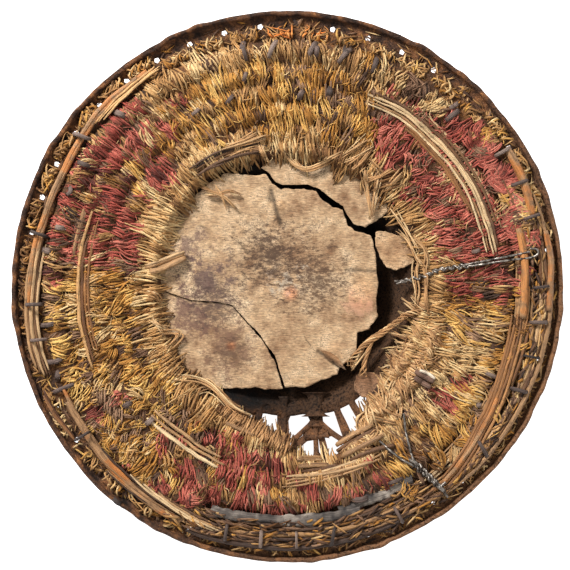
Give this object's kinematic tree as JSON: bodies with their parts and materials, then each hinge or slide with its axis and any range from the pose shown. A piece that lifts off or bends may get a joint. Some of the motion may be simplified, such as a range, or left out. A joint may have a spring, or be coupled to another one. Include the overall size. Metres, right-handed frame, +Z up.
{
  "type": "buckler",
  "caption": "Small round shield with a pierced iron face, a fluted boss and a coiled straw back bound in red and gold bast, shown from behind with a broken rawhide disc.",
  "frame": {"origin": "centre of the round outline, at the flat of the boss that the buckler lies on", "axes": "+Z up through the boss towards the back that the hand holds, +Y towards the top of the picture, +X to its right"},
  "size_m": [0.33, 0.33, 0.0597],
  "materials": {
    "iron": "forged iron, rusted dark brown, worn to a dull gleam on the rim",
    "wire": "old iron wire, grey brown",
    "bast": "bast over coiled straw, dyed red and golden ochre in turn, worn and dirty",
    "straw": "undyed twisted bast, pale and dry",
    "cane": "split cane, bare, orange brown, cracked along the grain",
    "rawhide": "dried rawhide, pale beige with dark stains and fine cracks",
    "lace_leather": "dark dry leather, grey brown"
  },
  "bodies": {
    "root": {"iron_face": "iron", "wicker_body": "bast", "outer_coil": "bast", "bare_cane_left": "cane", "bare_cane_lower_left": "cane", "bare_cane_lower_right": "cane", "bare_cane_right_inner": "cane", "bare_cane_right_outer": "cane", "edge_cane_bottom_inner": "cane", "edge_cane_bottom_outer": "cane", "edge_cane_left_lower": "cane", "edge_cane_left_upper": "cane", "edge_cane_right_inner": "cane", "edge_cane_right_middle": "cane", "edge_cane_right_outer": "cane", "hide_disc_main": "rawhide", "hide_disc_lower": "rawhide", "hide_disc_upper_shard": "rawhide", "hide_disc_right_shard": "rawhide", "hide_scrap": "rawhide", "leather_strip": "lace_leather", "lace_01": "lace_leather", "lace_02": "lace_leather", "lace_03": "lace_leather", "lace_04": "lace_leather", "lace_05": "lace_leather", "lace_06": "lace_leather", "lace_07": "lace_leather", "lace_08": "lace_leather", "lace_09": "lace_leather", "lace_10": "lace_leather", "lace_11": "lace_leather", "lace_12": "lace_leather", "lace_13": "lace_leather", "lace_14": "lace_leather", "lace_15": "lace_leather", "lace_16": "lace_leather", "lace_17": "lace_leather", "lace_18": "lace_leather", "coil_lace_01": "lace_leather", "coil_lace_02": "lace_leather", "coil_lace_03": "lace_leather", "coil_lace_04": "lace_leather", "coil_lace_05": "lace_leather", "coil_lace_06": "lace_leather", "wire_tie_right": "wire", "wire_tie_lower": "wire", "torn_binding": "straw"}
  },
  "joints": []
}
